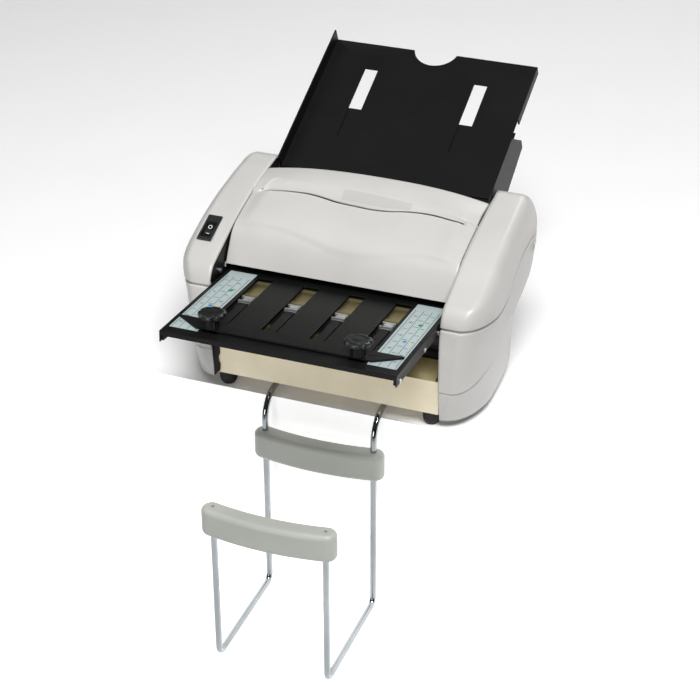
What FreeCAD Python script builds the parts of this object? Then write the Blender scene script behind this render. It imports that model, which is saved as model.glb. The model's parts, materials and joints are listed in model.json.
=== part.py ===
import FreeCAD, Part
import math
import os
import re
from FreeCAD import Placement, Rotation, Vector

# A desktop machine that folds letter sheets. X runs across it, +Y from its front to its
# back and +Z up. The origin is on the table, half way across, under the front panel's face.
# The catcher hangs in front of the table's edge, below the table's top.

SIZES = {
    # casing
    "opening_half": 117.5, "body_half": 161, "cover_wall": 3, "cover_bottom": 9,
    "frame_inner": 118, "frame_thick": 2, "frame_inset": 5,
    # base pan and feet
    "sheet": 1.5, "foot_high": 15.5, "foot_radius": 9, "foot_flat": 6, "foot_x": 107,
    "foot_front_y": 10.5, "foot_rear_y": 132, "pan_half": 116.5, "pan_deep": 146,
    "panel_top": 52, "pan_rear_top": 50, "pan_side_top": 22, "board_z": 22,
    # folding rollers, feed roller and their gears
    "roller_radius": 12.35, "roller_gap": 25, "roller_half": 112, "shaft_radius": 4,
    "main_y": 50.7, "main_z": 98.1, "feed_y": 117.1, "feed_z": 131.6, "feed_radius": 12.6,
    "core_radius": 8, "shaft_half": 122, "gear_teeth": 20, "gear_module": 1.25,
    "gear_inner": 124, "gear_width": 7, "bush_radius": 6.5, "running_gap": 0.05,
    # motor and belt
    "motor_y": 126, "motor_z": 97, "motor_radius": 20, "motor_long": 66,
    "small_pulley": 7, "large_pulley": 17, "feed_pulley": 11, "pulley_width": 8,
    "second_pulley": 134, "belt_thick": 1.4,
    # front fold plate, measured along and square to its own slope
    "plate_tilt": 5.76, "plate_y": -119, "plate_z": 128, "plate_half": 115.5,
    "plate_long": 160, "plate_thick": 1.5, "plate_skirt": 11.5, "plate_lip": 4.5,
    "plate_gap": 3.3, "slot_pitch": 47.6, "slot_width": 16, "slot_end": 150,
    "stop_front": 16, "stop_back": 36, "stop_half": 110.5, "knob_at": 20,
    "knob_radius": 13.5, "knob_stem": 7.5, "knob_high": 17, "knob_cap": 6, "stud_radius": 2.5,
    # rear fold plate
    "rear_tilt": 12, "rear_y": 66, "rear_z": 82, "rear_half": 108, "rear_long": 165,
    "rear_stop_at": 132, "rear_knob_at": 140,
    # feed tray, measured along and square to its own slope
    "tray_tilt": 24.6, "tray_y": 101, "tray_z": 138, "tray_half": 113, "tray_long": 160,
    "tray_start": 8, "guide_high": 16, "extension_from": 70, "extension_to": 250,
    "extension_half": 111,
    # switch
    "switch_x": 138, "switch_y": 47, "switch_z": 148.3, "switch_tilt": 19,
    "switch_wide": 15, "switch_long": 33, "rocker_tip": 8,
    # catcher
    "rod_radius": 3.15, "rod_x": 57, "rod_z": 6, "rod_in": 112, "drop_y": -17,
    "drop_bend": 25, "hook_y": -146, "hook_bend": 9, "hook_z": -215, "bar_long": 136,
    "bar_high": 30, "bar_deep": 20, "bar_bow": 5.5, "rear_bar_top": -30,
    "front_bar_top": -37,
}

doc = FreeCAD.newDocument("folding_machine")
sheet = doc.addObject("Spreadsheet::Sheet", "Sizes")
for row, (alias, number) in enumerate(SIZES.items(), start=1):
    sheet.set(f"A{row}", alias)
    sheet.set(f"B{row}", str(number))
    sheet.setAlias(f"B{row}", alias)
doc.recompute()

X_AXIS, Y_AXIS, Z_AXIS = Vector(1, 0, 0), Vector(0, 1, 0), Vector(0, 0, 1)
TURN_TO = {"X": Rotation(Y_AXIS, 90), "Y": Rotation(X_AXIS, -90), "Z": Rotation()}
pieces = []


# ---------------------------------------------------------------- helpers
def size(alias):
    return float(sheet.get(alias))


def formula(text):
    """The text as a formula in which every size name points at the Sizes sheet."""
    return re.sub(r"[a-z]\w*", lambda m: "Sizes." + m[0] if m[0] in SIZES else m[0], str(text))


def bind(thing, **formulas):
    """Bind properties, written with __ for a dot, to formulas in size names."""
    for name, text in formulas.items():
        thing.setExpression(name.replace("__", "."), formula(text))


def block(name, x, y, z):
    """A box between pairs of formulas along X, Y and Z."""
    box = doc.addObject("Part::Box", name)
    for side, axis, (low, high) in zip(("Length", "Width", "Height"), "xyz", (x, y, z)):
        bind(box, **{side: f"({high})-({low})", f"Placement__Base__{axis}": low})
    return box


def rod(name, axis, start, radius, length):
    """A cylinder that starts at three formulas and runs along an axis."""
    cylinder = doc.addObject("Part::Cylinder", name)
    cylinder.Placement = Placement(Vector(), TURN_TO[axis])
    bind(cylinder, Radius=radius, Height=length)
    for letter, text in zip("xyz", start):
        bind(cylinder, **{f"Placement__Base__{letter}": text})
    return cylinder


def cut(name, base, *tools):
    for number, tool in enumerate(tools):
        result = doc.addObject("Part::Cut", f"{name}_cut{number}")
        result.Base, result.Tool, base = base, tool, result
    return base


def fuse(name, first, *others):
    for number, other in enumerate(others):
        result = doc.addObject("Part::Fuse", f"{name}_fuse{number}")
        result.Base, result.Tool, first = first, other, result
    return first


def common(name, first, second):
    result = doc.addObject("Part::Common", name)
    result.Base, result.Tool = first, second
    return result


def group(name, members):
    """Separate solids that share one node."""
    result = doc.addObject("Part::Compound", f"{name}_group")
    result.Links = list(members)
    return result


def node(name, thing, tilt=None):
    """Finish a sub-part; tilt names the slope that it was drawn along."""
    thing.Label = name
    if tilt:
        lean(thing, *tilt)
    pieces.append(thing)
    return thing


def lean(thing, prefix, sign):
    """Place something drawn flat at PREFIX_y, PREFIX_z, turned about X by PREFIX_tilt."""
    thing.Placement = Placement(Vector(), Rotation(X_AXIS, 1))
    bind(thing, Placement__Base__y=f"{prefix}_y", Placement__Base__z=f"{prefix}_z",
         Placement__Rotation__Angle=f"{sign}{prefix}_tilt")


FRONT_SLOPE, REAR_SLOPE, TRAY_SLOPE = ("plate", "-"), ("rear", "-"), ("tray", "")


def plane(body, role):
    return next(item for item in body.Origin.OriginFeatures if item.Role == role)


def draw(sketch, outlines, closed=True):
    """Each outline is a start point and steps: a point, or ("arc" | "spline", points)."""
    for outline in outlines:
        here = outline[0]
        if here == "circle":
            centre = Vector(*outline[1], 0)
            sketch.addGeometry(Part.Circle(centre, Z_AXIS, outline[2]))
            continue
        for step in list(outline[1:]) + ([outline[0]] if closed else []):
            if step[0] == "arc":
                corners = [Vector(*point, 0) for point in (here, *step[1])]
                sketch.addGeometry(Part.Arc(*corners))
                here = step[1][-1]
            elif step[0] == "spline":
                curve = Part.BSplineCurve()
                curve.interpolate([Vector(*point, 0) for point in (here, *step[1])])
                sketch.addGeometry(curve)
                here = step[1][-1]
            elif math.dist(here, step) > 1e-6:
                sketch.addGeometry(Part.LineSegment(Vector(*here, 0), Vector(*step, 0)))
                here = step


def new_sketch(body, role, name, offset, outlines):
    sketch = body.newObject("Sketcher::SketchObject", name)
    sketch.AttachmentSupport = [(plane(body, role), "")]
    sketch.MapMode = "FlatFace"
    bind(sketch, AttachmentOffset__Base__z=offset)
    draw(sketch, outlines)
    return sketch


def pad(name, role, outlines, offset, length):
    """A body padded from outlines on one of its origin planes, moved along its normal."""
    body = doc.addObject("PartDesign::Body", name)
    sketch = new_sketch(body, role, f"{name}_outline", offset, outlines)
    feature = body.newObject("PartDesign::Pad", f"{name}_pad")
    feature.Profile = sketch
    bind(feature, Length=length)
    return body


def across(name, outlines, half):
    """A profile in Y and Z, padded the whole way between -half and +half."""
    return pad(name, "YZ_Plane", outlines, f"-({half})", f"2*({half})")


def turned(name, role, outline):
    """A body of revolution about its sketch's vertical axis."""
    body = doc.addObject("PartDesign::Body", name)
    sketch = new_sketch(body, role, f"{name}_outline", "0", [outline])
    feature = body.newObject("PartDesign::Revolution", f"{name}_turn")
    feature.Profile = sketch
    feature.ReferenceAxis = (sketch, ["V_Axis"])
    feature.Angle = 360
    return body


def copies(name, thing, places):
    """Separate copies of one piece, moved to places given as three formulas each."""
    links = []
    for number, place in enumerate(places):
        copy = doc.addObject("Part::Compound", f"{name}_{number}")
        copy.Links = [thing]
        for letter, text in zip("xyz", place):
            bind(copy, **{f"Placement__Base__{letter}": text})
        links.append(copy)
    return group(name, links)


def inset(points, distance):
    """The points of an anticlockwise open run, moved inwards by a distance."""
    moved = []
    for number, point in enumerate(points):
        before, after = points[max(number - 1, 0)], points[min(number + 1, len(points) - 1)]
        run = math.dist(before, after)
        moved.append((point[0] - distance * (after[1] - before[1]) / run,
                      point[1] + distance * (after[0] - before[0]) / run))
    return moved


# ---------------------------------------------------------------- casing
FRONT_RUN = [(-4, 111), (-6.5, 60)]
TOP_RUN = [(174, 174), (143, 171.5), (117, 167), (86, 161.5), (54, 151), (31, 142), (12, 134),
           (-1, 124), (-4, 111)]
BACK_RUN = [(152, 84), (186, 100), (199, 118), (202, 140), (194, 163), (174, 174)]
SIDE_STEPS = ((0, 1, 1), (15, 0.965, 0.99), (28, 0.83, 0.95), (36, 0.62, 0.88),
              (43.5, 0.3, 0.72))  # how far out, share of the depth kept, share of the height kept
MIDDLE_Y = 90
BOSSES = (("90", "36", "32"), ("22", "118", "24"), ("165", "150", "26"))  # y, z, reach


def side_outline(shift, keep_y, keep_z, lift=0):
    """A cover's outline seen from the side, moved in by shift and drawn in about its middle."""
    bottom = size("cover_bottom") + lift

    def drawn_in(run):
        kept = [(MIDDLE_Y + (y - MIDDLE_Y) * keep_y, bottom + (z - bottom) * keep_z)
                for y, z in run]
        return inset(kept, shift)

    back, top, front = drawn_in(BACK_RUN), drawn_in(TOP_RUN), drawn_in(FRONT_RUN)[-1]
    rear_foot, front_foot = (back[0][0] - 1, bottom), (front[0] + 1, bottom)
    return [[front_foot, rear_foot, back[0], ("spline", back[1:]), ("spline", top[1:]), front]]


def shell_solid(name, shift, lift):
    """The space inside a cover's skin, or the whole cover when shift is nothing."""
    body = doc.addObject("PartDesign::Body", name)
    sections = []
    for number, (out, keep_y, keep_z) in enumerate(SIDE_STEPS):
        reach = f"opening_half-{1 if shift else 0}" if number == 0 else f"opening_half+{out}"
        if shift and number:
            reach = f"opening_half+{out}-cover_wall*{out}/{SIDE_STEPS[-1][0]}"
        outline = side_outline(shift, keep_y, keep_z, lift)
        sections.append(new_sketch(body, "YZ_Plane", f"{name}_section{number}", reach, outline))
    loft = body.newObject("PartDesign::AdditiveLoft", f"{name}_loft")
    loft.Profile, loft.Sections = sections[0], sections[1:]
    return body


def drafted(solid, shift):
    """Cut the solid's outer side away below its widest line, so that it narrows to its foot."""
    waste = pad(f"{solid.Name}_waste", "XZ_Plane",
                [[(151 - shift, 0), (170, 0), (170, 112), (161.5 - shift, 112)]], "-220", "260")
    return cut(f"{solid.Name}_drafted", solid, waste)


def cover(side, sign):
    """A hollow side cover with three bosses that meet the side frame."""
    name = f"{side}_cover"
    wall = size("cover_wall")
    skin = cut(f"{name}_shell", drafted(shell_solid(f"{name}_outside", 0, 0), 0),
               drafted(shell_solid(f"{name}_inside", wall, -5), wall))
    bosses = [rod(f"{name}_boss{number}", "X", ("frame_inner+frame_thick", y, z), "4", reach)
              for number, (y, z, reach) in enumerate(BOSSES)]
    drills = [rod(f"{name}_drill{number}", "X", ("frame_inner", y, z), "1.6", "16")
              for number, (y, z, _) in enumerate(BOSSES)]
    whole = cut(f"{name}_drilled", fuse(f"{name}_bossed", skin, *bosses), *drills)
    if sign > 0:
        return node(name, whole)
    mirror = doc.addObject("Part::Mirroring", f"{name}_mirror")
    mirror.Source, mirror.Normal = whole, X_AXIS
    opening = doc.addObject("Part::Box", "switch_opening")
    bind(opening, Length="switch_wide-2", Width="switch_long-2", Height=24)
    seat(opening, "1", "1", "-16")
    return node(name, cut(f"{name}_switch", mirror, opening))


def seat(thing, x, y, z, tip="0"):
    """Place something in the switch's own sloping frame, from the switch's front left corner."""
    thing.Placement = Placement(Vector(), Rotation(X_AXIS, 1))
    bind(thing, Placement__Rotation__Angle=f"switch_tilt+{tip}",
         Placement__Base__x=f"-switch_x-switch_wide/2+{x}",
         Placement__Base__y=f"switch_y-(switch_long/2-{y})*cos(switch_tilt*1deg)"
                            f"-({z})*sin(switch_tilt*1deg)",
         Placement__Base__z=f"switch_z-(switch_long/2-{y})*sin(switch_tilt*1deg)"
                            f"+({z})*cos(switch_tilt*1deg)")


def screw_heads():
    """Three screws in each side frame that pull the covers on."""
    screws = []
    for sign, side in ((1, "right"), (-1, "left")):
        for number, (y, z, _) in enumerate(BOSSES):
            head_x = "frame_inner-2" if sign > 0 else "-frame_inner"
            stem_x = "frame_inner-1" if sign > 0 else "-frame_inner-13"
            head = rod(f"{side}_head{number}", "X", (head_x, y, z), "2.8", "2")
            stem = rod(f"{side}_stem{number}", "X", (stem_x, y, z), "1.5", "14")
            screws.append(fuse(f"{side}_screw{number}", head, stem))
    node("cover_screws", group("cover_screws", screws))


HOOD_RUN = [(34.5, 121), (49, 146.5), (59, 154), (78, 161.5), (100, 166), (112, 173), (124, 181),
            (148, 184)]


def hood():
    """The crowned hood over the rollers, with the slot for feeding sheets by hand."""
    def solid(name, shift, half):
        low, bend, *rest = inset(HOOD_RUN, -shift)
        end = rest[-1]
        profile = across(f"{name}_profile", [[low, bend, ("spline", rest), (end[0], 60), (low[0], 60)]],
                         half)
        crown = size("opening_half")
        arch = pad(f"{name}_arch", "XZ_Plane",
                   [[(-crown, 50), (crown, 50), (crown, 168 - shift),
                     ("arc", [(0, 184.5 - shift), (-crown, 168 - shift)])]], "-160", "180")
        return common(name, profile, arch)

    outside = solid("hood_outside", 0, "opening_half-0.8")
    inside = solid("hood_inside", 2.5, "opening_half-3.3")
    below = block("hood_below", ("-130", "130"), ("0", "160"), ("20", "120"))
    behind = block("hood_behind", ("-112", "112"), ("130", "160"), ("120", "172"))
    slot = block("hood_slot", ("-110", "110"), ("100", "109"), ("155", "190"))
    notches = [block(f"hood_notch_{side}{start}", x, (start, "160"), ("120", high))
               for side, x in (("left", ("-130", "-112")), ("right", ("112", "130")))
               for start, high in (("45", "136"), ("70", "152"))]
    node("hood", cut("hood_shell", outside, inside, below, behind, slot, *notches))


def side_frames():
    """Steel side plates that close the covers and carry the rollers."""
    for side, start in (("left", "-frame_inner-frame_thick"), ("right", "frame_inner")):
        outline = side_outline(size("frame_inset"), 1, 1, 9)
        plate = pad(f"{side}_plate", "YZ_Plane", outline, start, "frame_thick")
        at = f"{start}-1"
        holes = [rod(f"{side}_bush_hole{number}", "X", (at, y, z), "bush_radius", "4")
                 for number, (y, z) in enumerate(SHAFTS)]
        holes += [rod(f"{side}_cover_hole{number}", "X", (at, y, z), "1.6", "4")
                  for number, (y, z, _) in enumerate(BOSSES)]
        if side == "right":
            holes.append(rod("motor_hole", "X", (at, "motor_y", "motor_z"), "9", "4"))
        node(f"{side}_frame", cut(f"{side}_frame", plate, *holes))


def rear_cover():
    """The plate between the side covers under the feed tray, with the inlet's opening."""
    wide = block("rear_cover_low", ("-117", "117"), ("150", "152.5"), ("67.5", "140"))
    narrow = block("rear_cover_high", ("-109", "109"), ("150", "152.5"), ("140", "156"))
    window = block("inlet_window", ("-92", "-64"), ("148", "155"), ("84", "105"))
    node("rear_cover", cut("rear_cover", fuse("rear_cover_whole", wide, narrow), window))
    shell = block("inlet_shell", ("-91.7", "-64.3"), ("136", "152.8"), ("84.3", "104.7"))
    rim = block("inlet_rim", ("-96", "-60"), ("152.5", "154.5"), ("81", "108"))
    well = block("inlet_well", ("-88.5", "-67.5"), ("140", "156"), ("87", "102"))
    pins = [block(f"inlet_pin{number}", (f"{x}-1", f"{x}+1"), ("139", "151"), (z, f"{z}+4"))
            for number, (x, z) in enumerate((("-84.5", "90"), ("-71.5", "90"), ("-78", "95.5")))]
    body = cut("inlet_body", fuse("inlet_case", shell, rim), well)
    node("power_inlet", fuse("inlet", body, *pins))


# ---------------------------------------------------------------- base
def base_pan():
    floor = block("pan_floor", ("-pan_half", "pan_half"), ("0", "pan_deep"),
                  ("foot_high", "foot_high+sheet"))
    walls = [block("pan_panel", ("-pan_half", "pan_half"), ("0", "sheet"),
                   ("foot_high", "panel_top")),
             block("pan_back", ("-pan_half", "pan_half"), ("pan_deep-sheet", "pan_deep"),
                   ("foot_high", "pan_rear_top"))]
    for side, (low, high) in (("left", ("-pan_half", "-pan_half+sheet")),
                              ("right", ("pan_half-sheet", "pan_half"))):
        walls.append(block(f"pan_{side}", (low, high), ("4", "pan_deep-4"),
                           ("foot_high", "pan_side_top")))
    posts = [rod(f"board_post{number}", "Z", (x, y, "foot_high"), "2.4", "board_z-foot_high")
             for number, (x, y) in enumerate((x, y) for x in ("-96", "-42") for y in ("69", "109"))]
    holes = [rod(f"foot_hole{number}", "Z", (x, y, "foot_high-1"), "2.1", "4")
             for number, (x, y) in enumerate(FEET)]
    node("base_pan", cut("pan", fuse("pan_whole", floor, *walls, *posts), *holes))


FEET = [(f"{sign}foot_x", f"foot_{end}_y") for sign in ("-", "") for end in ("front", "rear")]


def feet():
    """Domed rubber feet, each held by a screw from below."""
    radius, flat, high = size("foot_radius"), size("foot_flat"), size("foot_high")
    dome = turned("foot", "XZ_Plane", [(3.6, 0), (flat, 0), ("arc", [(radius - 0.9, 3), (radius, 8)]),
                                       (radius, high), (2, high), (2, 5), (3.6, 5)])
    screw = turned("foot_screw", "XZ_Plane", [(0, 2), (3.3, 2), (3.3, 4.9), (1.8, 4.9), (1.8, 21),
                                              (0, 21)])
    places = [(x, y, "0") for x, y in FEET]
    node("rubber_feet", copies("feet", dome, places))
    node("foot_screws", copies("foot_screws", screw, places))


def tie_bars():
    """Steel bars that hold the side frames apart."""
    bars = [rod(f"tie_bar{number}", "X", ("-frame_inner", y, z), "3", "2*frame_inner")
            for number, (y, z) in enumerate((("14", "34"), ("136", "29"), ("86", "148"),
                                             ("182", "118")))]
    node("tie_bars", group("tie_bars", bars))


def rod_sockets():
    """Two channels under the pan that the catcher's rods slide into."""
    sockets = []
    for side, centre in (("left", "-rod_x"), ("right", "rod_x")):
        body = block(f"{side}_socket", (f"{centre}-7", f"{centre}+7"), ("22", "rod_in+2"),
                     ("1.2", "foot_high"))
        bore = rod(f"{side}_bore", "Y", (centre, "20", "rod_z"), "rod_radius+0.08", "rod_in-19.5")
        sockets.append(cut(f"{side}_socket", body, bore))
    node("rod_sockets", group("rod_sockets", sockets))


# ---------------------------------------------------------------- rollers and drive
def place_shafts():
    """Centres of rollers 1 to 4 and the feed roller in Y and Z, and the idler's centre."""
    gap = size("roller_gap")
    main = (size("main_y"), size("main_z"))
    tilt = math.radians(size("plate_tilt"))
    top = (main[0] + gap * math.sin(tilt), main[1] + gap * math.cos(tilt))
    down = math.radians(size("rear_tilt"))
    third = (main[0] - gap * math.sin(down), main[1] - gap * math.cos(down))
    fourth = (third[0], third[1] - gap)
    feed = (size("feed_y"), size("feed_z"))
    return [top, main, third, fourth, feed]


CENTRES = place_shafts()
SHAFTS = [(f"{y:.4f}", f"{z:.4f}") for y, z in CENTRES]
ROLLER_NAMES = ("upper", "main", "lower", "exit")


def tooth_outline(teeth, module, phase):
    """Straight-sided teeth, with room between them, round a circle."""
    pitch, outer, root = module * teeth / 2, module * (teeth / 2 + 0.85), module * (teeth / 2 - 1.1)
    step = 2 * math.pi / teeth
    corners = []
    for number in range(teeth):
        middle = phase + number * step
        for radius, part in ((root, -0.31), (pitch, -0.215), (outer, -0.1), (outer, 0.1),
                             (pitch, 0.215), (root, 0.31)):
            angle = middle + part * step
            corners.append((radius * math.cos(angle), radius * math.sin(angle)))
    return corners


def gear(name, centre, phase):
    """A spur gear about X, outside the left frame."""
    y, z = centre
    teeth = tooth_outline(int(size("gear_teeth")), size("gear_module"), phase)
    return pad(name, "YZ_Plane", [[(y + a, z + b) for a, b in teeth],
                                  ["circle", (y, z), size("shaft_radius")]],
               "-gear_inner-gear_width", "gear_width")


def gear_phases():
    """A tooth's angle on each roller's gear, so that the whole train meshes at rest."""
    def next_phase(start, end, phase):
        way = math.atan2(end[1] - start[1], end[0] - start[0])
        return 2 * way - phase + math.pi - math.pi / size("gear_teeth")

    top, main, third, fourth, _ = CENTRES
    lower = next_phase(main, third, 0)
    return next_phase(main, top, 0), 0, lower, next_phase(third, fourth, lower)


def rollers():
    """Four folding rollers: a steel core, a rubber sleeve and a gear each."""
    for name, (y, z), centre, phase in zip(ROLLER_NAMES, SHAFTS, CENTRES, gear_phases()):
        reach = "second_pulley+pulley_width+1" if name == "main" else "shaft_half"
        shaft = rod(f"{name}_shaft", "X", ("-gear_inner-gear_width-1", y, z), "shaft_radius",
                    f"gear_inner+gear_width+1+{reach}")
        drum = rod(f"{name}_drum", "X", ("-roller_half", y, z), "core_radius", "2*roller_half")
        node(f"{name}_roller_core", fuse(f"{name}_core", shaft, drum))
        sleeve = rod(f"{name}_rubber", "X", ("2-roller_half", y, z), "roller_radius",
                     "2*roller_half-4")
        bore = rod(f"{name}_rubber_bore", "X", ("-roller_half", y, z), "core_radius",
                   "2*roller_half")
        node(f"{name}_roller_sleeve", cut(f"{name}_sleeve", sleeve, bore))
        node(f"{name}_gear", gear(f"{name}_wheel", centre, phase))


def feed_roller():
    """A shaft with three rubber tyres that push the lowest sheet forwards."""
    y, z = SHAFTS[4]
    shaft = rod("feed_shaft", "X", ("-shaft_half", y, z), "shaft_radius",
                "shaft_half+second_pulley+pulley_width+1")
    node("feed_shaft", shaft)
    tyres = []
    for number, x in enumerate(("-62", "-11", "40")):
        tyre = rod(f"tyre{number}", "X", (x, y, z), "feed_radius", "22")
        bore = rod(f"tyre_bore{number}", "X", (f"{x}-1", y, z), "shaft_radius", "24")
        tyres.append(cut(f"tyre_cut{number}", tyre, bore))
    node("feed_tyres", group("feed_tyres", tyres))


def bushes():
    """Flanged bushes in both side frames, one at each end of every shaft."""
    made = []
    for sign, start in ((1, "frame_inner-1"), (-1, "-frame_inner-frame_thick")):
        for number, (y, z) in enumerate(SHAFTS):
            flange_x = "frame_inner-1" if sign > 0 else "-frame_inner"
            sleeve = rod(f"bush{sign}{number}", "X", (start, y, z), "bush_radius", "frame_thick+1")
            flange = rod(f"bush_flange{sign}{number}", "X", (flange_x, y, z), "bush_radius+1.5",
                         "1")
            bore = rod(f"bush_bore{sign}{number}", "X", (f"{start}-1", y, z),
                       "shaft_radius+running_gap", "8")
            made.append(cut(f"bush_cut{sign}{number}",
                            fuse(f"bush_whole{sign}{number}", sleeve, flange), bore))
    node("roller_bushes", group("roller_bushes", made))


def pulley(name, y, z, radius, start):
    """A flanged belt pulley about X, without its bore."""
    drum = rod(f"{name}_drum", "X", (start, y, z), radius, "pulley_width")
    flanges = [rod(f"{name}_flange{number}", "X", (f"{start}+{shift}", y, z), f"{radius}+2.2", "1")
               for number, shift in enumerate(("0", "pulley_width-1"))]
    return fuse(name, drum, *flanges)


def belt(name, start, end, big, small, at):
    """A flat belt: two straight runs and two arcs round the pulleys, just clear of them."""
    way = math.atan2(end[1] - start[1], end[0] - start[0])

    def spot(centre, radius, angle):
        return (centre[0] + radius * math.cos(angle), centre[1] + radius * math.sin(angle))

    def loop(extra):
        wide, narrow = big + extra, small + extra
        side = math.acos((wide - narrow) / math.dist(start, end))
        return [spot(end, narrow, way + side), spot(start, wide, way + side),
                ("arc", [spot(start, wide, way + math.pi), spot(start, wide, way - side)]),
                spot(end, narrow, way - side),
                ("arc", [spot(end, narrow, way), spot(end, narrow, way + side)])]

    clear = 0.3
    return pad(name, "YZ_Plane", [loop(clear + size("belt_thick")), loop(clear)],
               f"{at}+1.4", "pulley_width-2.8")


def drive():
    """Motor, pulleys and the two belts, outside the right frame."""
    can = rod("motor_can", "X", ("frame_inner-motor_long", "motor_y", "motor_z"), "motor_radius",
              "motor_long")
    nose = rod("motor_nose", "X", ("frame_inner-0.5", "motor_y", "motor_z"), "8", "3.5")
    bore = rod("motor_bore", "X", ("frame_inner-20", "motor_y", "motor_z"),
               "2.5+running_gap", "30")
    node("motor", cut("motor", fuse("motor_whole", can, nose), bore))
    node("motor_shaft", rod("motor_shaft", "X", ("frame_inner-19", "motor_y", "motor_z"), "2.5",
                            "33"))
    motor, main, feed = (size("motor_y"), size("motor_z")), CENTRES[1], CENTRES[4]
    large, small, even = size("large_pulley"), size("small_pulley"), size("feed_pulley")

    def bored(name, whole, y, z, bore):
        hole = rod(f"{name}_hole", "X", ("gear_inner-1", y, z), bore, "30")
        node(name, cut(f"{name}_bored", whole, hole))

    bored("motor_pulley", pulley("motor_wheel", "motor_y", "motor_z", "small_pulley",
                                 "gear_inner"), "motor_y", "motor_z", "2.5")
    y, z = SHAFTS[1]
    stepped = fuse("stepped", pulley("large_wheel", y, z, "large_pulley", "gear_inner"),
                   pulley("even_wheel", y, z, "feed_pulley", "second_pulley"),
                   rod("pulley_neck", "X", ("gear_inner", y, z), "8", "second_pulley-gear_inner+1"))
    bored("main_pulley", stepped, y, z, "shaft_radius")
    y, z = SHAFTS[4]
    bored("feed_pulley", pulley("feed_wheel", y, z, "feed_pulley", "second_pulley"), y, z,
          "shaft_radius")
    node("motor_belt", belt("motor_loop", main, motor, large, small, "gear_inner"))
    node("feed_belt", belt("feed_loop", main, feed, even, even, "second_pulley"))


def electrics():
    board = block("board", ("-100", "-38"), ("66", "112"), ("board_z", "board_z+1.6"))
    lumps = [block(f"board_part{number}", (x, f"{x}+{wide}"), (y, f"{y}+{wide}"),
                   ("board_z+1.6", top))
             for number, (x, y, wide, top) in enumerate((("-95", "70", "14", "36"),
                                                         ("-74", "74", "10", "34"),
                                                         ("-58", "90", "12", "32")))]
    node("circuit_board", fuse("board_whole", board, *lumps))


# ---------------------------------------------------------------- sheet path
def guides():
    """Bent sheets that lead the paper, and the rails that carry both fold plates."""
    feed = across("feed_guide_body", [[(65.4, 112.6), (92.6, 132.8), (93.2, 134.2),
                                       (91.9, 134.2), (65, 114.2)]], "111")
    node("feed_guide", feed)
    manual = across("manual_guide_body", [[(77.4, 129.5), (78.8, 128.9), (111.5, 157),
                                           (111.5, 160.5), (110, 160.5)]], "111")
    tongue = across("manual_guide_tongue", [[(104.4, 146.4), (114.9, 151.2), (114.1, 152.9),
                                             (111.4, 151.7), (111.4, 158), (108.2, 155),
                                             (108.2, 150.2), (103.6, 148.1)]], "11")
    node("manual_guide", fuse("manual_guide_whole", manual, tongue))
    chute = across("exit_chute_body", [[(1.6, 40), (3.1, 40), (3.1, 49.6), (31, 56), (30.6, 57.6),
                                        (1.6, 51)]], "112")
    node("exit_chute", chute)


def separator():
    """The rubber pad, under the manual guide's tongue, that lets one sheet at a time past."""
    rubber = block("separator_block", ("-11", "11"), ("6.5", "18"), ("0.9", "3.9"))
    node("separator_pad", group("separator", [rubber]), TRAY_SLOPE)


def rails():
    """Rails on the side frames that carry the two fold plates."""
    made = []
    for prefix, half, low_y, high_y, low_z, high_z in (
            ("plate", "plate_half-4", "127", "157", "-plate_skirt-2.3", "-plate_skirt-0.4"),
            ("rear", "rear_half-6", "12", "80", "-7.6", "-6")):
        for side, (low, high) in (("left", ("-frame_inner", f"-({half})")),
                                  ("right", (half, "frame_inner"))):
            rail = block(f"{side}_{prefix}_rail", (low, high), (low_y, high_y), (low_z, high_z))
            slide_into_slope(rail, prefix, low, low_y, low_z)
            made.append(rail)
    node("plate_rails", group("plate_rails", made))


def slide_into_slope(thing, prefix, x, y, z):
    """Place a box's lowest corner at x, y, z of a fold plate's own slope."""
    thing.Placement = Placement(Vector(), Rotation(X_AXIS, 1))
    cosine, sine = f"cos({prefix}_tilt*1deg)", f"sin({prefix}_tilt*1deg)"
    bind(thing, Placement__Rotation__Angle=f"-{prefix}_tilt", Placement__Base__x=x,
         Placement__Base__y=f"{prefix}_y+({y})*{cosine}+({z})*{sine}",
         Placement__Base__z=f"{prefix}_z-({y})*{sine}+({z})*{cosine}")


# ---------------------------------------------------------------- front fold plate
SLOTS = (("-1.5*slot_pitch", "14"), ("-0.5*slot_pitch", "40"), ("0.5*slot_pitch", "40"),
         ("1.5*slot_pitch", "14"))


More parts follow.
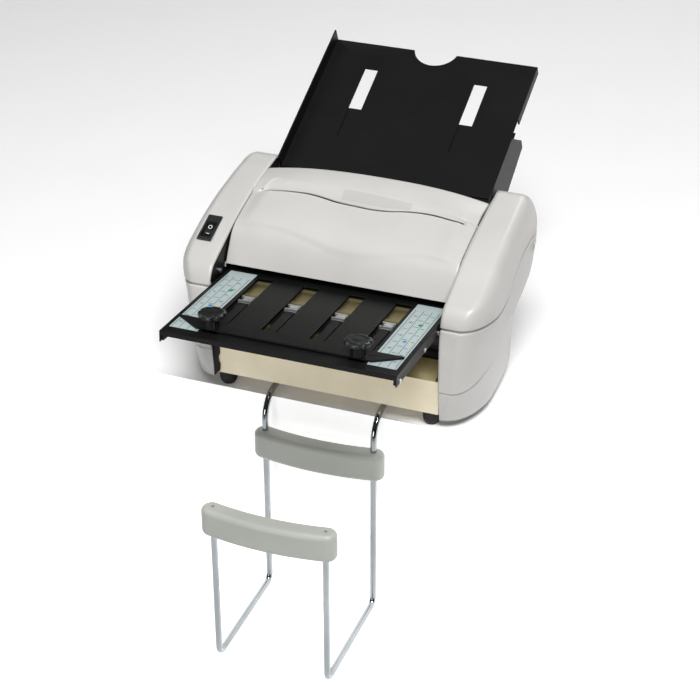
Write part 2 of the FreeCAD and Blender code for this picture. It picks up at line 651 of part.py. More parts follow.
def front_fold_plate():
    """The slotted upper sheet with its skirts, the lower sheet and their screws."""
    top = block("plate_top", ("-plate_half", "plate_half"), ("0", "plate_long"),
                ("-plate_thick", "0"))
    lip = block("plate_front_lip", ("-plate_half", "plate_half"), ("0", "plate_thick"),
                ("-plate_lip", "0"))
    skirts = [block(f"plate_skirt_{side}", (low, high), ("0", "plate_long"), ("-plate_skirt", "0"))
              for side, low, high in (("left", "-plate_half", "-plate_half+1.2"),
                                      ("right", "plate_half-1.2", "plate_half"))]
    slots = [block(f"plate_slot{number}", (f"{x}-slot_width/2", f"{x}+slot_width/2"),
                   (front, "slot_end"), ("-3", "1")) for number, (x, front) in enumerate(SLOTS)]
    upper = cut("plate_upper", fuse("plate_whole", top, lip, *skirts), *slots)
    under, inner = "-plate_thick-plate_gap-1.2", "plate_half-1.2"
    lower = block("plate_floor", (f"-({inner})", inner), ("2", "plate_long-4"),
                  (under, f"{under}+1.2"))
    edges = [block(f"plate_floor_edge_{side}", (low, high), ("2", "plate_long-4"),
                   ("-plate_skirt+1", under))
             for side, low, high in (("left", f"-({inner})", f"-({inner})+2.5"),
                                     ("right", f"{inner}-2.5", inner))]
    windows = [block(f"floor_window{number}", (f"{x}-slot_width/2", f"{x}+slot_width/2"),
                     ("62", "88"), ("-12", "0")) for number, (x, _) in enumerate(SLOTS)]
    lower = cut("plate_lower", fuse("plate_floor_whole", lower, *edges), *windows)
    drills, screws = [], []
    for side, start in (("left", "-plate_half-1"), ("right", "plate_half-3")):
        for number, y in enumerate(("9", "78", "118")):
            z = "-plate_skirt+3.3"
            stem = rod(f"{side}_stem{number}", "X", (start, y, z), "1.2", "4")
            head_x = "-plate_half-0.9" if side == "left" else "plate_half"
            head = rod(f"{side}_plate_head{number}", "X", (head_x, y, z), "2.2", "0.9")
            drills.append(rod(f"{side}_plate_drill{number}", "X", (start, y, z), "1.2", "4"))
            screws.append(fuse(f"{side}_plate_screw{number}", stem, head))
    bore = group("plate_drills", drills)
    node("fold_plate_top", cut("plate_upper_bored", upper, bore), FRONT_SLOPE)
    node("fold_plate_bottom", cut("plate_lower_bored", lower, bore), FRONT_SLOPE)
    node("plate_screws", group("plate_screws", screws), FRONT_SLOPE)
    labels = [block(f"{side}_label", (low, high), ("12", "slot_end+4"), ("0", "0.25"))
              for side, low, high in (("left", "-111", "-83"), ("right", "83", "111"))]
    node("scale_labels", group("scale_labels", labels), FRONT_SLOPE)


def front_stop():
    """The clamped bar across the plate and the carrier below it with the stop tabs."""
    front, back, tip = size("stop_front"), size("stop_back"), size("stop_half")
    wide = tip - 24
    bar = pad("stop_bar_body", "XY_Plane",
              [[(-wide, front), (wide, front), (tip, back - 2), (tip, back), (-tip, back),
                (-tip, back - 2)]], "0.5", "1.9")
    studs = ("-1.5*slot_pitch", "1.5*slot_pitch")
    holes = [rod(f"stop_hole{number}", "Z", (x, "knob_at", "-8"), "stud_radius+running_gap", "12")
             for number, x in enumerate(studs)]
    bores = group("stop_bores", holes)
    node("stop_bar", cut("stop_bar_bored", bar, bores), FRONT_SLOPE)
    level = ("-3.9", "-2.7")
    strip = block("carrier_strip", ("-84", "84"), ("stop_front-1", "stop_back"), level)
    posts = [block(f"carrier_post{number}", (f"{x}-5", f"{x}+5"), (y, f"{y}+3"), ("-3.9", "0.5"))
             for number, (x, y) in enumerate((x, y) for x in studs for y in ("25", "31"))]
    arms = [block(f"carrier_arm{number}", (f"{x}-4.5", f"{x}+4.5"), ("stop_back-1", "105"), level)
            for number, (x, _) in enumerate(SLOTS)]
    tabs = [block(f"carrier_tab{number}", (f"{x}-6.5", f"{x}+6.5"), (y, f"{y}+1.6"),
                  ("-3.9", "-0.5"))
            for number, (x, y) in enumerate((x, y) for x, _ in SLOTS for y in ("94", "103.4"))]
    carrier = fuse("carrier_whole", strip, *arms, *posts, *tabs)
    node("stop_carrier", cut("carrier_bored", carrier, bores), FRONT_SLOPE)
    for side, x in (("left", studs[0]), ("right", studs[1])):
        node(f"{side}_stop_knob", knob(f"{side}_stop", x, "2.7"), FRONT_SLOPE)


def knob(name, x, base, y="knob_at"):
    """A fluted clamping knob with its stud."""
    deep = "6.2"
    stem = rod(f"{name}_knob_stem", "Z", (x, y, base), "knob_stem", "knob_high-knob_cap+1")
    head = rod(f"{name}_knob_head", "Z", (x, y, f"{base}+knob_high-knob_cap"), "knob_radius",
               "knob_cap")
    stud = rod(f"{name}_knob_stud", "Z", (x, y, f"{base}-{deep}"), "stud_radius", f"{deep}+4")
    rounded = doc.addObject("Part::Fillet", f"{name}_knob_round")
    rounded.Base = head
    rounded.Edges = [(1, 2.2, 2.2), (3, 1.5, 1.5)]
    flutes = []
    for number in range(6):
        turn = 2 * math.pi * number / 6
        spot_x = f"{x}+{math.cos(turn):.5f}*(knob_radius+1.6)"
        spot_y = f"{y}+{math.sin(turn):.5f}*(knob_radius+1.6)"
        flutes.append(rod(f"{name}_flute{number}", "Z", (spot_x, spot_y, base), "3.2", "30"))
    return cut(f"{name}_knob", fuse(f"{name}_knob_whole", rounded, stem, stud), *flutes)


# ---------------------------------------------------------------- rear fold plate
def rear_fold_plate():
    """The second fold plate, under the feed tray, with its own stop and knob."""
    sheets = [block(f"rear_sheet{number}", ("-rear_half", "rear_half"), ("0", "rear_long"), level)
              for number, level in enumerate((("-1.2", "0"), ("-5.6", "-4.4")))]
    spacers = [block(f"rear_spacer_{side}", (low, high), ("2", "rear_long-2"), ("-4.4", "-1.2"))
               for side, low, high in (("left", "-rear_half", "-rear_half+5"),
                                       ("right", "rear_half-5", "rear_half"))]
    slots = [block(f"rear_slot{number}", (f"{x}-{wide}", f"{x}+{wide}"), ("60", "rear_long-7"),
                   ("-2", "1"))
             for number, (x, wide) in enumerate((("-42", "7"), ("0", "4"), ("42", "7")))]
    node("rear_fold_plate", cut("rear_plate", fuse("rear_plate_whole", sheets[0], *spacers,
                                                   sheets[1]), *slots), REAR_SLOPE)
    strip = block("rear_stop_strip", ("-56", "56"), ("rear_stop_at", "rear_stop_at+16"),
                  ("0.4", "2.4"))
    tabs = [block(f"rear_stop_tab{number}", (f"{x}-5", f"{x}+5"),
                  ("rear_stop_at", "rear_stop_at+1.6"), ("-4.1", "0.6"))
            for number, x in enumerate(("-42", "42"))]
    hole = rod("rear_stop_hole", "Z", ("0", "rear_knob_at", "-8"), "stud_radius+running_gap",
               "12")
    node("rear_stop", cut("rear_stop_bored", fuse("rear_stop_whole", strip, *tabs), hole),
         REAR_SLOPE)
    node("rear_stop_knob", knob("rear_stop", "0", "2.7", "rear_knob_at"), REAR_SLOPE)


# ---------------------------------------------------------------- feed tray
def feed_tray():
    """The lower tray box with windows for the feed tyres, and the pull-out extension."""
    floor = block("tray_floor", ("-tray_half", "tray_half"), ("-tray_start", "tray_long"),
                  ("-sheet", "0"))
    outline = [(-8, -10), (45, -14), (70, -42), (119, -44), (174, -38), (174, -27), (148, 4.6),
               (75, 4.6), (66, 0), (-8, 0)]
    walls = [pad(f"tray_wall_{side}", "YZ_Plane", [outline], start, "sheet")
             for side, start in (("left", "-tray_half"), ("right", "tray_half-sheet"))]
    windows = [block(f"tyre_window{number}", (x, f"{x}+25"), ("0", "24"), ("-3", "1"))
               for number, x in enumerate(("-63.5", "-12.5", "38.5"))]
    shaft_hole = rod("tray_shaft_hole", "X", ("-120", "12", "-12.5"), "6", "240")
    node("feed_tray", cut("tray", fuse("tray_whole", floor, *walls), *windows, shaft_hole),
         TRAY_SLOPE)
    plate = block("extension_plate", ("-extension_half", "extension_half"),
                  ("extension_from", "extension_to"), ("0.3", "1.8"))
    lip = block("extension_lip", ("extension_half-1.5", "extension_half"),
                ("tray_long+18", "extension_to"), ("-8", "1.8"))
    left_lip = block("extension_left_lip", ("-extension_half", "-extension_half+1.5"),
                     ("tray_long+18", "extension_to"), ("-8", "1.8"))
    guide = block("extension_guide", ("-extension_half", "-extension_half+1.5"),
                  ("extension_from", "extension_to"), ("0.3", "guide_high"))
    notch = rod("thumb_notch", "Z", ("0", "extension_to+6", "-1"), "24", "5")
    slots = [block(f"extension_slot{number}", (f"{x}-7", f"{x}+7"), ("120", "215"), ("-1", "3"))
             for number, x in enumerate(("-60", "60"))]
    node("tray_extension", cut("extension", fuse("extension_whole", plate, lip, left_lip, guide),
                               notch, *slots), TRAY_SLOPE)


# ---------------------------------------------------------------- switch
def switch():
    """The power switch: a bezel set in the left cover and the rocker that tips in it."""
    rim = doc.addObject("Part::Box", "switch_rim")
    bind(rim, Length="switch_wide", Width="switch_long", Height=1.6)
    seat(rim, "0", "0", "0")
    box = doc.addObject("Part::Box", "switch_box")
    bind(box, Length="switch_wide-2.4", Width="switch_long-2.4", Height=13)
    seat(box, "1.2", "1.2", "-12.5")
    well = doc.addObject("Part::Box", "switch_well")
    bind(well, Length="switch_wide-4.4", Width="switch_long-13", Height=20)
    seat(well, "2.2", "4", "-8")
    node("switch_bezel", cut("switch_bezel", fuse("switch_whole", rim, box), well))
    rocker = pad("switch_rocker_body", "YZ_Plane",
                 [[(-9.3, 2.4), (-9.3, -0.5), (-2, -4), (2, -4), (9.3, -0.5), (9.3, 2.4),
                   ("arc", [(0, 0.9), (-9.3, 2.4)])]], "0", "switch_wide-5.2")
    seat(rocker, "2.6", "14", "-1.2", "rocker_tip")
    node("switch_rocker", rocker)


# ---------------------------------------------------------------- catcher
def catcher():
    """Two bent rods that hang the folded sheets' rack in front of the table, and two bars."""
    y0, z0, bend, hook = size("drop_y"), size("rod_z"), size("drop_bend"), size("hook_bend")
    y1, bottom, top = size("hook_y"), size("hook_z"), size("front_bar_top") - 8
    slant = 1 - math.sqrt(0.5)
    for side, x in (("left", "-rod_x"), ("right", "rod_x")):
        body = doc.addObject("PartDesign::Body", f"{side}_rod_body")
        route = [[(size("rod_in"), z0), (y0 + bend, z0),
                  ("arc", [(y0 + bend * slant, z0 - bend * slant), (y0, z0 - bend)]),
                  (y0, bottom + hook),
                  ("arc", [(y0 - hook * slant, bottom + hook * slant), (y0 - hook, bottom)]),
                  (y1 + hook, bottom),
                  ("arc", [(y1 + hook * slant, bottom + hook * slant), (y1, bottom + hook)]),
                  (y1, top)]]
        spine = body.newObject("Sketcher::SketchObject", f"{side}_rod_spine")
        spine.AttachmentSupport = [(plane(body, "YZ_Plane"), "")]
        spine.MapMode = "FlatFace"
        bind(spine, AttachmentOffset__Base__z=x)
        draw(spine, route, closed=False)
        ring = new_sketch(body, "XZ_Plane", f"{side}_rod_ring", "-rod_in",
                          [["circle", (size("rod_x") * (-1 if side == "left" else 1), z0),
                            size("rod_radius")]])
        pipe = body.newObject("PartDesign::AdditivePipe", f"{side}_rod_pipe")
        pipe.Profile, pipe.Spine = ring, (spine, [])
        node(f"{side}_rod", body)
    for name, y, top_text, through in (("rear_bar", "drop_y", "rear_bar_top", True),
                                       ("front_bar", "hook_y", "front_bar_top", False)):
        node(name, catcher_bar(name, y, top_text, through))


def catcher_bar(name, y, top_text, through):
    """A moulded bar, bowed forwards in plan, with rounded ends."""
    deep, bow, at = size("bar_deep") / 2, size("bar_bow"), size(y)
    reach = size("bar_long") / 2 - deep
    sweep = (reach ** 2 + bow ** 2) / (2 * bow)
    sine, cosine = reach / sweep, math.sqrt(1 - (reach / sweep) ** 2)

    def end(sign, out, along):
        """A point beside one end of the bar's bowed centre line."""
        return (sign * (reach + out * sine + along * cosine), at - out * cosine + along * sine)

    outline = [end(-1, deep, 0), ("arc", [(0, at - bow - deep), end(1, deep, 0)]),
               ("arc", [end(1, 0, deep), end(1, -deep, 0)]),
               ("arc", [(0, at - bow + deep), end(-1, -deep, 0)]),
               ("arc", [end(-1, 0, deep), end(-1, deep, 0)])]
    body = pad(f"{name}_body", "XY_Plane", [outline], f"{top_text}-bar_high", "bar_high")
    doc.recompute()
    padded = body.Tip
    ends = [f"Face{number + 1}" for number, face in enumerate(body.Shape.Faces)
            if abs(abs(face.normalAt(0, 0).z) - 1) < 1e-6]
    rounded = body.newObject("PartDesign::Fillet", f"{name}_round")
    rounded.Base = (padded, ends)
    rounded.Radius = 5
    start = f"{top_text}-bar_high-1"
    long = "bar_high+2" if through else "bar_high-7"
    bores = [rod(f"{name}_bore_{side}", "Z", (x, y, start), "rod_radius+running_gap", long)
             for side, x in (("left", "-rod_x"), ("right", "rod_x"))]
    bores += [rod(f"{name}_pin_{side}", "Z", (x, y, start), "1.6", "bar_high+2")
              for side, x in (("left", "-rod_x"), ("right", "rod_x")) if not through]
    return cut(f"{name}_bored", body, *bores)


# ---------------------------------------------------------------- build and write
for side, sign in (("left", -1), ("right", 1)):
    cover(side, sign)
for make in (hood, side_frames, rear_cover, screw_heads, base_pan, feet, tie_bars, rod_sockets,
             rollers, feed_roller, bushes, drive, electrics, guides, separator, rails,
             front_fold_plate, front_stop, rear_fold_plate, feed_tray, switch, catcher):
    make()
doc.recompute()

broken = [item.Name for item in doc.Objects if {"Invalid", "Error"} & set(item.State)]
faulty = [piece.Label for piece in pieces if piece.Shape.isNull() or not piece.Shape.isValid()]
if broken or faulty:
    raise SystemExit(f"failed objects: {broken}; bad shapes: {faulty}")
os.makedirs("parts", exist_ok=True)
for piece in pieces:
    piece.Shape.exportStep(f"parts/{piece.Label}.step")
print(len(pieces), "nodes written")
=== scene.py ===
"""Looks for the desktop paper folding machine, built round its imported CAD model.

Lengths in this file are in millimetres until they reach a mesh, in the model's frame: X across,
+Y to the back, +Z up, with the origin on the table under the front panel.
"""

import json
import math

import bmesh
import bpy
import numpy as np
from mathutils import Matrix, Vector


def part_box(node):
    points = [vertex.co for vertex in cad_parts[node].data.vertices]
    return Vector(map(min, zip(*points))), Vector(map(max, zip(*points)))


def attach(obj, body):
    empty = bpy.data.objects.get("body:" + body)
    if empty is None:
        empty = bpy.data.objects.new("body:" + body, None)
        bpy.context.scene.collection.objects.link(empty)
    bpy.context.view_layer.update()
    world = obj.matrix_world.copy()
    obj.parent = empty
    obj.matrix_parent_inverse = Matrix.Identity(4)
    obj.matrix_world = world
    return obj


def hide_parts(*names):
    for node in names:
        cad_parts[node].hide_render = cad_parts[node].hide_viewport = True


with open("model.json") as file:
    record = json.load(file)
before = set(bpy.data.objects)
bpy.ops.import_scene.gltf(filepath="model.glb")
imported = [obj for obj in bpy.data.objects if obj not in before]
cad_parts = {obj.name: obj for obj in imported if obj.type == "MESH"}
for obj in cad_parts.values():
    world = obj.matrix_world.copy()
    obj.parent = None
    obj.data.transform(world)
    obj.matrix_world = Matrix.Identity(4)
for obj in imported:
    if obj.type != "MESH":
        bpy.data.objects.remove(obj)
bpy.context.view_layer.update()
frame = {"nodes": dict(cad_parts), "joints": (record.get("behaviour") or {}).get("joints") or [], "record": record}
scene = bpy.context.scene
MM = 0.001


# ---------------------------------------------------------------- camera
def make_camera():
    """The photograph's view: from the front right and above."""
    azimuth, elevation, roll = (math.radians(a) for a in (20.745, 31.0, -0.209))
    back = Vector((math.sin(azimuth) * math.cos(elevation),
                   -math.cos(azimuth) * math.cos(elevation), math.sin(elevation)))
    level = Vector((math.cos(azimuth), math.sin(azimuth), 0))
    up = back.cross(level)
    right = math.cos(roll) * level + math.sin(roll) * up
    top = -math.sin(roll) * level + math.cos(roll) * up
    data = bpy.data.cameras.new("camera")
    data.lens, data.sensor_width = 100.68, 36
    data.clip_start, data.clip_end = 0.05, 30
    camera = bpy.data.objects.new("camera", data)
    scene.collection.objects.link(camera)
    camera.matrix_world = Matrix.Translation(
        back * 1.92018 + right * 0.02452 + top * 0.05483) @ Matrix(
            (right, top, back)).transposed().to_4x4()
    scene.camera = camera


make_camera()


# ---------------------------------------------------------------- materials
def new_material(name):
    material = bpy.data.materials.new(name)
    material.use_nodes = True
    return material, material.node_tree.nodes, material.node_tree.links


def noise(nodes, links, coordinates, scale, detail=3.0, stretch=None):
    """A noise texture in the piece's own space; scale is in waves per metre."""
    texture = nodes.new("ShaderNodeTexNoise")
    texture.inputs["Scale"].default_value = scale
    texture.inputs["Detail"].default_value = detail
    source = coordinates.outputs["Object"]
    if stretch:
        mapping = nodes.new("ShaderNodeMapping")
        mapping.inputs["Scale"].default_value = stretch
        links.new(source, mapping.inputs["Vector"])
        source = mapping.outputs["Vector"]
    links.new(source, texture.inputs["Vector"])
    return texture.outputs["Fac"]


def spread(nodes, links, value, low, high):
    """Noise, which mostly lies between 0.3 and 0.7, spread over low to high."""
    reach = nodes.new("ShaderNodeMapRange")
    for name, number in (("From Min", 0.3), ("From Max", 0.7), ("To Min", low), ("To Max", high)):
        reach.inputs[name].default_value = number
    links.new(value, reach.inputs["Value"])
    return reach.outputs["Result"]


def surface(name, dark, light, rough, metallic=0.0, grain=900.0, relief=0.12, patch=14.0,
            stretch=None, coat=0.0, specular=0.5):
    """A procedural finish: two tones in soft patches, uneven roughness and fine relief."""
    material, nodes, links = new_material(name)
    shader = nodes["Principled BSDF"]
    coordinates = nodes.new("ShaderNodeTexCoord")
    patches = noise(nodes, links, coordinates, patch, 4.0)
    fine = noise(nodes, links, coordinates, grain, 2.0, stretch)
    tone = nodes.new("ShaderNodeMix")
    tone.data_type = "RGBA"
    tone.inputs["A"].default_value = (*dark, 1)
    tone.inputs["B"].default_value = (*light, 1)
    links.new(spread(nodes, links, patches, 0, 1), tone.inputs["Factor"])
    links.new(tone.outputs["Result"], shader.inputs["Base Color"])
    links.new(spread(nodes, links, fine, *rough), shader.inputs["Roughness"])
    bump = nodes.new("ShaderNodeBump")
    bump.inputs["Strength"].default_value = relief
    bump.inputs["Distance"].default_value = 0.0002
    links.new(fine, bump.inputs["Height"])
    links.new(bump.outputs["Normal"], shader.inputs["Normal"])
    shader.inputs["Metallic"].default_value = metallic
    shader.inputs["Coat Weight"].default_value = coat
    shader.inputs["Coat Roughness"].default_value = 0.2
    shader.inputs["Specular IOR Level"].default_value = specular
    return material


def tint(red, green, blue):
    """Linear colour from the 0 to 255 values of a screen colour."""
    return tuple(((c / 255 + 0.055) / 1.055) ** 2.4 for c in (red, green, blue))


def band(nodes, links, coordinates, low, high, soft):
    """1 where a piece's own Y lies between low and high millimetres, with soft ends."""
    parts = nodes.new("ShaderNodeSeparateXYZ")
    links.new(coordinates.outputs["Object"], parts.inputs["Vector"])
    sides = []
    for edge, way in ((low, 1), (high, -1)):
        side = nodes.new("ShaderNodeMapRange")
        side.interpolation_type = "SMOOTHSTEP"
        side.inputs["From Min"].default_value = (edge - way * soft) * MM
        side.inputs["From Max"].default_value = (edge + way * soft) * MM
        links.new(parts.outputs["Y"], side.inputs["Value"])
        sides.append(side.outputs["Result"])
    both = nodes.new("ShaderNodeMath")
    both.operation = "MULTIPLY"
    links.new(sides[0], both.inputs[0])
    links.new(sides[1], both.inputs[1])
    return both.outputs["Value"]


def banded(name, base, bands):
    """Black steel with bands (low, high, soft, colour) of depth in a metallic colour: bright metal on the stop
    carrier's tabs, and on the lower sheet painted glints of gold with painted shade between them.
    """
    material = base.copy()
    material.name = name
    nodes, links = material.node_tree.nodes, material.node_tree.links
    shader = nodes["Principled BSDF"]
    coordinates = next(n for n in nodes if n.bl_idname == "ShaderNodeTexCoord")
    colour = shader.inputs["Base Color"].links[0].from_socket
    metal = None
    for low, high, soft, shade in bands:
        share = band(nodes, links, coordinates, low, high, soft)
        mix = nodes.new("ShaderNodeMix")
        mix.data_type = "RGBA"
        mix.inputs["B"].default_value = (*shade, 1)
        links.new(share, mix.inputs["Factor"])
        links.new(colour, mix.inputs["A"])
        colour = mix.outputs["Result"]
        if metal is None:
            metal = share
        else:
            total = nodes.new("ShaderNodeMath")
            total.operation = "ADD"
            links.new(metal, total.inputs[0])
            links.new(share, total.inputs[1])
            metal = total.outputs["Value"]
    links.new(colour, shader.inputs["Base Color"])
    links.new(metal, shader.inputs["Metallic"])
    return material


BRUSHED = (1, 14, 14)
LOOKS = {
    "cover_plastic": surface("cover_plastic", tint(195, 193, 190), tint(203, 201, 198), (0.34, 0.44),
                             grain=1400, relief=0.10, coat=0.15),
    "bar_plastic": surface("bar_plastic", tint(176, 179, 172), tint(186, 188, 181), (0.38, 0.48),
                           grain=1400, relief=0.10, coat=0.1),
    "cream_zinc": surface("cream_zinc", tint(244, 231, 200), tint(252, 242, 216), (0.34, 0.48),
                          metallic=0.55, grain=420, relief=0.10, patch=30, stretch=BRUSHED),
    "black_steel": surface("black_steel", tint(10, 12, 11), tint(16, 18, 16), (0.38, 0.52),
                           grain=1500, relief=0.30, patch=20, specular=0.25),
    "black_plastic": surface("black_plastic", tint(20, 23, 22), tint(28, 31, 30), (0.28, 0.38),
                             grain=1300, relief=0.18, specular=0.6, coat=0.25),
    "rocker_plastic": surface("rocker_plastic", tint(15, 16, 16), tint(21, 22, 22), (0.16, 0.24),
                              grain=900, relief=0.05, coat=0.3),
    "gear_plastic": surface("gear_plastic", tint(214, 210, 198), tint(224, 221, 210), (0.4, 0.5)),
    "black_rubber": surface("black_rubber", tint(20, 20, 20), tint(28, 28, 28), (0.6, 0.75),
                            grain=1000, relief=0.4),
    "roller_rubber": surface("roller_rubber", tint(42, 43, 46), tint(54, 55, 58), (0.55, 0.7),
                             grain=800, relief=0.45, stretch=(0.2, 1, 1)),
    "bright_zinc": surface("bright_zinc", tint(186, 189, 192), tint(214, 216, 218), (0.2, 0.36),
                           metallic=1.0, grain=500, relief=0.08, patch=60, stretch=BRUSHED),
    "gold_zinc": surface("gold_zinc", tint(190, 172, 118), tint(226, 210, 160), (0.24, 0.36),
                         metallic=0.2, grain=460, relief=0.03, patch=34, stretch=BRUSHED),
    "bronze": surface("bronze", tint(150, 112, 66), tint(176, 138, 88), (0.35, 0.5), metallic=1.0),
    "motor_steel": surface("motor_steel", tint(70, 73, 77), tint(86, 89, 93), (0.35, 0.5),
                           metallic=0.6, grain=600, stretch=BRUSHED),
    "board": surface("board", tint(20, 84, 44), tint(30, 104, 56), (0.3, 0.45)),
    "scale_paper": surface("scale_paper", tint(168, 182, 183), tint(180, 193, 194), (0.42, 0.56),
                           grain=900, relief=0.08, coat=0.15),
    "chrome": surface("chrome", tint(158, 163, 166), tint(186, 191, 194), (0.06, 0.12),
                      metallic=1.0, grain=700, relief=0.02),
}
PRINT = surface("print_ink", tint(38, 42, 44), tint(52, 56, 58), (0.5, 0.6), relief=0.02)
PALE_PRINT = surface("pale_ink", tint(232, 233, 232), tint(240, 240, 239), (0.4, 0.5), relief=0.02)
DOTS = {"green": surface("green_dot", tint(20, 128, 70), tint(30, 142, 80), (0.5, 0.6)),
        "blue": surface("blue_dot", tint(40, 120, 190), tint(52, 132, 204), (0.5, 0.6)),
        "yellow": surface("yellow_dot", tint(206, 190, 90), tint(216, 200, 100), (0.5, 0.6))}
LABEL = surface("label_film", tint(186, 185, 182), tint(192, 191, 188), (0.3, 0.38), coat=0.2)


# ---------------------------------------------------------------- mesh helpers
def add(name, points, faces, look, body, thick=0.0, bevel=0.0, angle=35):
    """A mesh piece from points in millimetres, riding on a body."""
    data = bpy.data.meshes.new(name)
    data.from_pydata([tuple(c * MM for c in p) for p in points], [], faces)
    data.validate()
    data.update()
    return finish_piece(name, data, look, body, thick, bevel, angle)


def finish_piece(name, data, look, body, thick=0.0, bevel=0.0, angle=35):
    """An object with a look on a body, with its thickness and bevel as modifiers."""
    piece = bpy.data.objects.new(name, data)
    scene.collection.objects.link(piece)
    data.materials.append(look)
    if thick:
        modifier = piece.modifiers.new("thick", "SOLIDIFY")
        modifier.thickness, modifier.offset = thick * MM, -1
    if bevel:
        modifier = piece.modifiers.new("bevel", "BEVEL")
        modifier.width, modifier.segments = bevel * MM, 2
        modifier.limit_method, modifier.angle_limit = "ANGLE", math.radians(40)
    smooth(piece, angle)
    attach(piece, body)
    return piece


def smooth(piece, angle=35):
    """Smooth shading, with edges sharper than the angle kept crisp."""
    bpy.context.view_layer.objects.active = piece
    with bpy.context.temp_override(object=piece, active_object=piece, selected_objects=[piece],
                                   selected_editable_objects=[piece]):
        bpy.ops.object.shade_smooth_by_angle(angle=math.radians(angle))


def bake(piece):
    """Turn a piece's modifiers into its mesh."""
    shown = piece.evaluated_get(bpy.context.evaluated_depsgraph_get())
    data = bpy.data.meshes.new_from_object(shown)
    piece.modifiers.clear()
    piece.data = data


def grid_faces(rows, columns, closed=False):
    """Quads between neighbouring rows of a grid of points."""
    faces = []
    for r in range(rows - 1):
        for c in range(columns if closed else columns - 1):
            n = (c + 1) % columns
            faces.append((r * columns + c, r * columns + n, (r + 1) * columns + n,
                          (r + 1) * columns + c))
    return faces


def ease(value, low, high):
    """0 below low, 1 above high and smooth between."""
    t = np.clip((value - low) / (high - low), 0, 1)
    return t * t * (3 - 2 * t)


def curve(keys, at):
    """A smooth curve through (place, value, ...) keys, read at the given places."""
    keys = np.array(keys, float)
    fine = np.linspace(keys[0, 0], keys[-1, 0], 1201)
    found = []
    for column in keys.T[1:]:
        slopes = np.gradient(column, keys[:, 0])
        spot = np.clip(np.searchsorted(keys[:, 0], fine, side="right") - 1, 0, len(keys) - 2)
        step = keys[spot + 1, 0] - keys[spot, 0]
        t = (fine - keys[spot, 0]) / step
        values = ((2 * t**3 - 3 * t**2 + 1) * column[spot] + (t**3 - 2 * t**2 + t) * step * slopes[spot]
                  + (3 * t**2 - 2 * t**3) * column[spot + 1] + (t**3 - t**2) * step * slopes[spot + 1])
        found.append(np.interp(at, fine, values))
    return found[0] if len(found) == 1 else np.array(found).T


# ---------------------------------------------------------------- side covers
# Outline of a cover's inner edge seen from the side, as (place, y, z): up the front, back along
# the top to the rear lobe, and down the back. SPINE is the line on the outer side that both run to.
FRONT_EDGE = [(0, 0.6, 9), (0.8, -5.2, 43), (1.1, -5.8, 60), (1.7, -5.4, 98), (2, -4, 111),
              (2.35, -0.5, 123), (2.65, 5.5, 130.4), (3, 14, 134.8), (3.5, 34, 143), (4, 62, 153.8),
              (4.5, 96, 163), (5, 128, 168.8), (5.5, 158, 173), (5.8, 176, 173.4), (6, 190, 166)]
REAR_EDGE = [(0, 151, 9), (1, 151.6, 50), (1.7, 152, 76), (2, 154, 85), (2.5, 168, 92),
             (3, 184, 100.5), (3.5, 195, 112), (4, 201, 126), (5, 203, 141), (5.6, 199, 156),
             (6, 190, 166)]
SPINE = [(0, 60, 9, 152), (0.8, 68, 40, 152.6), (1.4, 78, 66, 156), (2, 90, 84, 159.5),
         (3, 101, 98, 161), (4, 116, 110, 161), (5, 135, 121, 161), (6, 156, 131, 161)]
# How far out the flat part of the rim reaches, and how deep the rounding beyond it is.
FRONT_RIM = [(0, 119, 60), (0.8, 128, 68), (1.2, 132, 80), (1.7, 134, 88), (2.2, 136, 62),
             (3, 143, 40), (4, 145, 36), (5, 144, 38), (6, 140, 48)]
REAR_RIM = [(0, 141.5, 90), (1, 142.5, 80), (2, 142, 60), (3, 138, 52), (4, 137, 54), (5, 138, 52),
            (6, 140, 48)]
RIM_INNER = 117.5
# Height of the seam between the cap and the skirt at each depth
SEAM = [(-12, 114.5), (-6, 114.5), (12, 112.5), (32, 111.3), (56, 112), (72, 115), (84, 122),
        (96, 131), (110, 136.5), (128, 139.5), (150, 141), (206, 143)]
# Height of the groove above the table at each depth
GROOVE = [(-12, 44), (8, 44), (24, 46.5), (37, 49.5), (60, 54), (206, 54)]
# Edge loops beside the groove, as heights from it
GROOVE_CUTS = (-1.6, -0.9, -0.3, 0.3, 0.9)
# Edge loops across each part, as heights from the seam; the part ends at the first.
CAP_CUTS = (0, 0.8)
SKIRT_CUTS = (1.8, -2.6, -3.4, -4.2)
CAP_THICK, SKIRT_THICK = 2.4, 2.0


def cover_surface():
    """Points of the right cover's outer side, and its faces."""
    across_rim = np.linspace(0, 1, 8)[:-1]
    inwards = np.linspace(0, 1, 34) ** 1.8
    columns, places = [], np.linspace(0, 6, 133)
    for edge, rim, ways in ((FRONT_EDGE, FRONT_RIM, places), (REAR_EDGE, REAR_RIM, places[::-1][1:])):
        outline, spine, depth = curve(edge, ways), curve(SPINE, ways), curve(rim, ways)
        for (y, z), (ys, zs, outer), (reach, deep) in zip(outline, spine, depth):
            length = math.hypot(ys - y, zs - z)
            deep = min(deep, length)
            column = [(RIM_INNER + (reach - RIM_INNER) * a, y, z) for a in across_rim]
            for t in inwards:
                q = min(1.0, t * length / deep)
                bulge = math.sqrt(1 - (1 - q) ** 2)
                column.append((reach + (outer - reach) * bulge, y + (ys - y) * t,
                               z + (zs - z) * t))
            columns.append(column)
    points = [p for column in columns for p in column]
    return points, grid_faces(len(columns), len(columns[0]))


SEAM_FINE = [(y, float(curve(SEAM, y))) for y in np.linspace(-12, 206, 220)]


def seam_height(y):
    return float(np.interp(y, [k[0] for k in SEAM_FINE], [k[1] for k in SEAM_FINE]))


def groove_height(y):
    return float(np.interp(y, [k[0] for k in GROOVE], [k[1] for k in GROOVE]))


